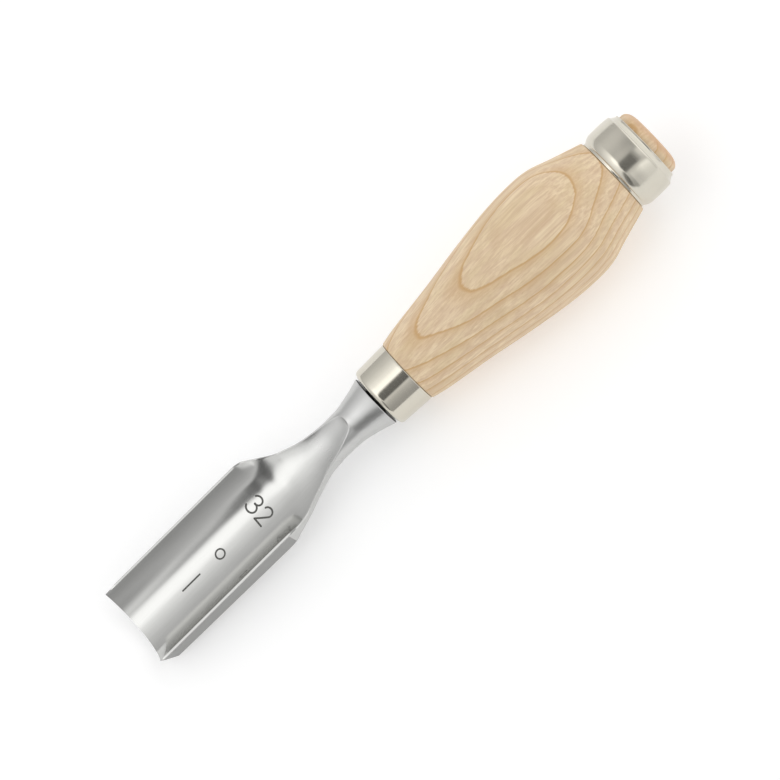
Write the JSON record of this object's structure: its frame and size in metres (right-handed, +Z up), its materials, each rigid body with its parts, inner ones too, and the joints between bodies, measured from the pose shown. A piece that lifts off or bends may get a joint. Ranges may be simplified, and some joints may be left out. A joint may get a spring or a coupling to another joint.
{
  "type": "carving gouge",
  "caption": "Out-cannel carving gouge: a deep channelled steel blade on a turned ash handle with a metal ferrule and a striking ring.",
  "frame": {"origin": "on the surface the tool rests on, under the middle of its outline", "axes": "+X from the cutting edge to the butt of the handle, +Z up out of the channel, +Y across; the tool lies at rest on its blade and its handle, so its own axis is tipped nose down by 4 degrees about Y"},
  "size_m": [0.2374, 0.0428, 0.0432],
  "materials": {
    "blade_steel": "ground and satin polished",
    "nickel_ferrule": "polished, slightly warm",
    "ash_wood": "fine turned, thin clear coat",
    "nickel_ring": "polished, slightly warm"
  },
  "bodies": {
    "root": {"blade": "blade_steel", "ferrule": "nickel_ferrule", "handle": "ash_wood", "strike_ring": "nickel_ring"}
  },
  "joints": []
}
